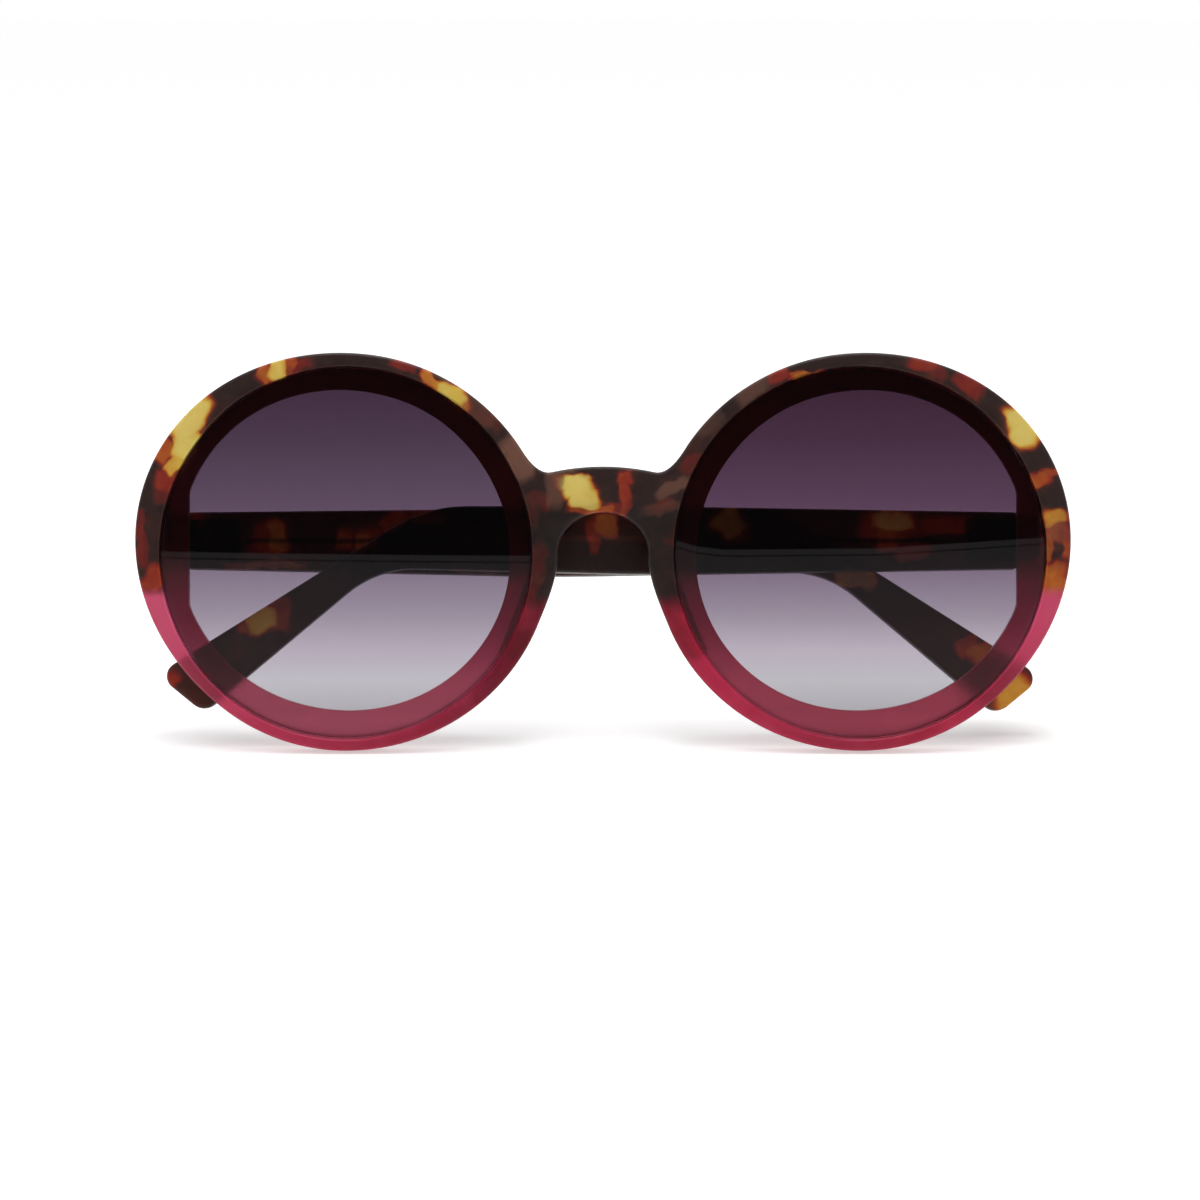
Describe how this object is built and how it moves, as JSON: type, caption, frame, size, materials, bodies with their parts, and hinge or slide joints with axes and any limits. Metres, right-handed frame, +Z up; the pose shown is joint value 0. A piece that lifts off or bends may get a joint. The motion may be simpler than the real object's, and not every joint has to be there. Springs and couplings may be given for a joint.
{
  "type": "sunglasses",
  "caption": "Round sunglasses: two-tone acetate front, flush graduated lenses, built-up nose pads and temples that fold on barrel hinges.",
  "frame": {"origin": "centre of the bounding box in X and Y, at the floor under the rims", "axes": "+Z up; +X towards the wearer's left, along the width of the front; +Y back, from the front towards the folded temples"},
  "size_m": [0.1452, 0.0232, 0.0612],
  "materials": {
    "tortoise_acetate": "satin, dark brown mottled with amber",
    "raspberry_acetate": "satin, slightly translucent",
    "pad_acetate": "satin",
    "tinted_lens": "polished, tint graduated from dark at the top to pale at the bottom",
    "hinge_metal": "black nickel plate, satin",
    "screw_metal": "satin"
  },
  "bodies": {
    "front": {"front_upper": "tortoise_acetate", "rim_lower_left": "raspberry_acetate", "rim_lower_right": "raspberry_acetate", "lens_left": "tinted_lens", "lens_right": "tinted_lens", "nose_pad_left": "pad_acetate", "nose_pad_right": "pad_acetate", "hinge_front_leaf_left": "hinge_metal", "hinge_front_leaf_right": "hinge_metal", "hinge_screw_left": "screw_metal", "hinge_screw_right": "screw_metal"},
    "left_temple": {"temple_left": "tortoise_acetate", "hinge_temple_leaf_left": "hinge_metal", "core_wire_left": "screw_metal"},
    "right_temple": {"temple_right": "tortoise_acetate", "hinge_temple_leaf_right": "hinge_metal", "core_wire_right": "screw_metal"}
  },
  "joints": [
    {"name": "left_temple_fold", "type": "hinge", "parent": "front", "child": "left_temple", "pos_m": [0.0659, 0.00346, 0.03132], "axis": [0, -0.2588, -0.9659], "range_deg": [0, 96.3]},
    {"name": "right_temple_fold", "type": "hinge", "parent": "front", "child": "right_temple", "pos_m": [-0.0659, 0.00346, 0.03132], "axis": [0, 0.2588, 0.9659], "range_deg": [0, 92.8]}
  ]
}
